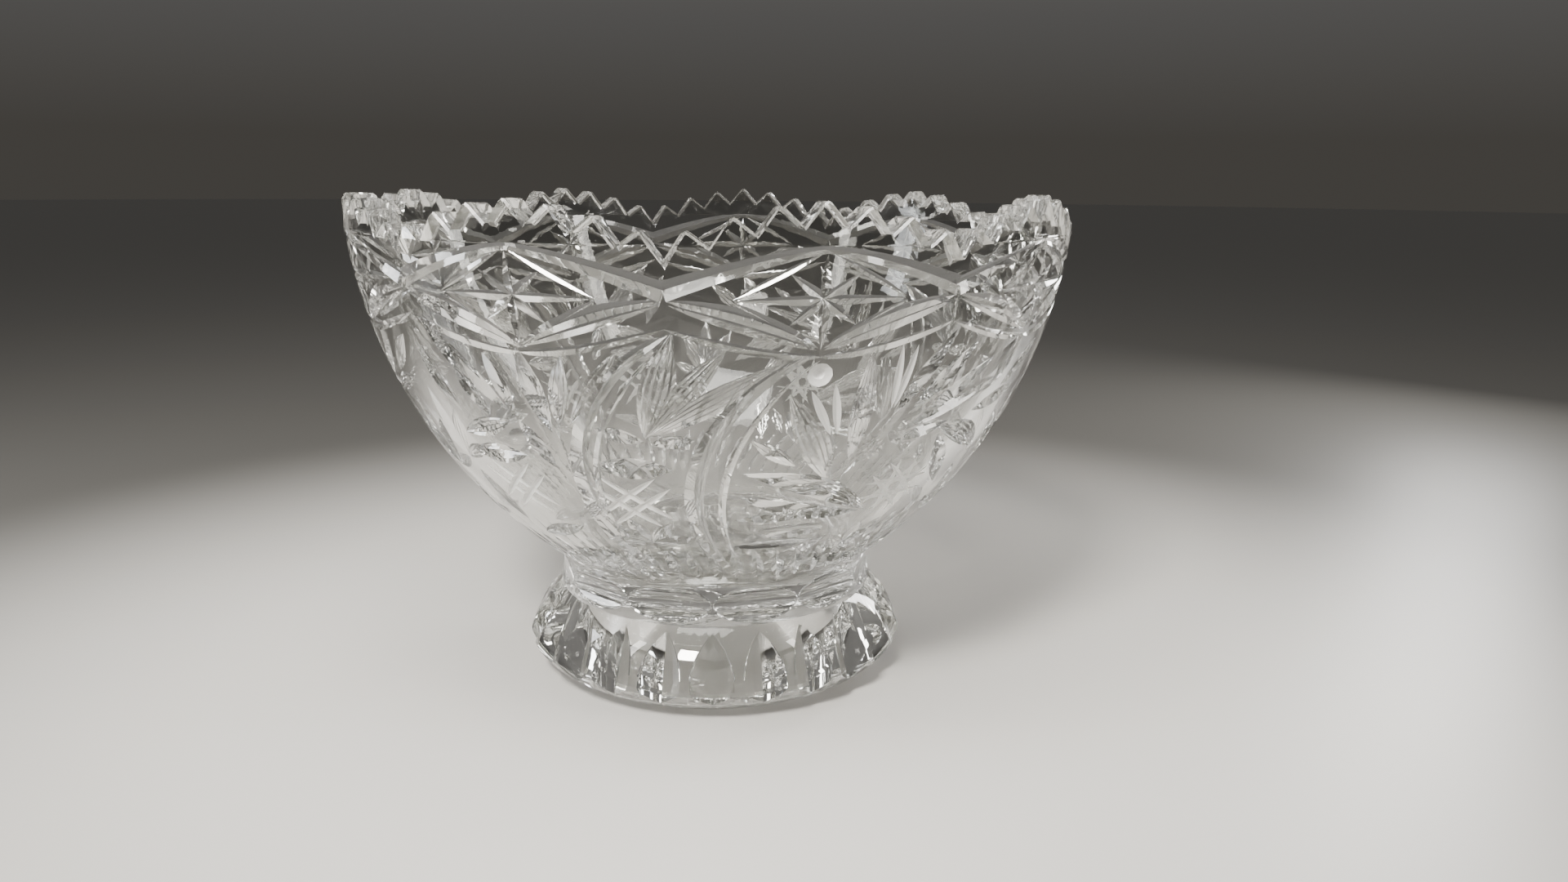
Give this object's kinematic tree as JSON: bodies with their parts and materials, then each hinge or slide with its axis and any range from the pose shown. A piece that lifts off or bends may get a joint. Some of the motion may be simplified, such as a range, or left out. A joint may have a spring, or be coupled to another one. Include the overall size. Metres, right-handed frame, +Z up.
{
  "type": "punch bowl",
  "caption": "Cut-crystal punch bowl with a scalloped saw-tooth rim and a short collar, standing on a separate flared, fluted ring stand.",
  "frame": {"origin": "on the table, at the centre of the stand", "axes": "+Z up along the bowl's axis; -Y is the front, where one scallop of the rim is centred; +X to the right"},
  "size_m": [0.257, 0.257, 0.178],
  "materials": {
    "crystal": "polished clear lead crystal with frosted wheel cuts"
  },
  "bodies": {
    "stand": {"pedestal_stand": "crystal"},
    "bowl": {"punch_bowl": "crystal"}
  },
  "joints": [
    {"name": "bowl_lift", "type": "slide", "parent": "stand", "child": "bowl", "axis": [0, 0, 1], "range_m": [0, 0.08]}
  ]
}
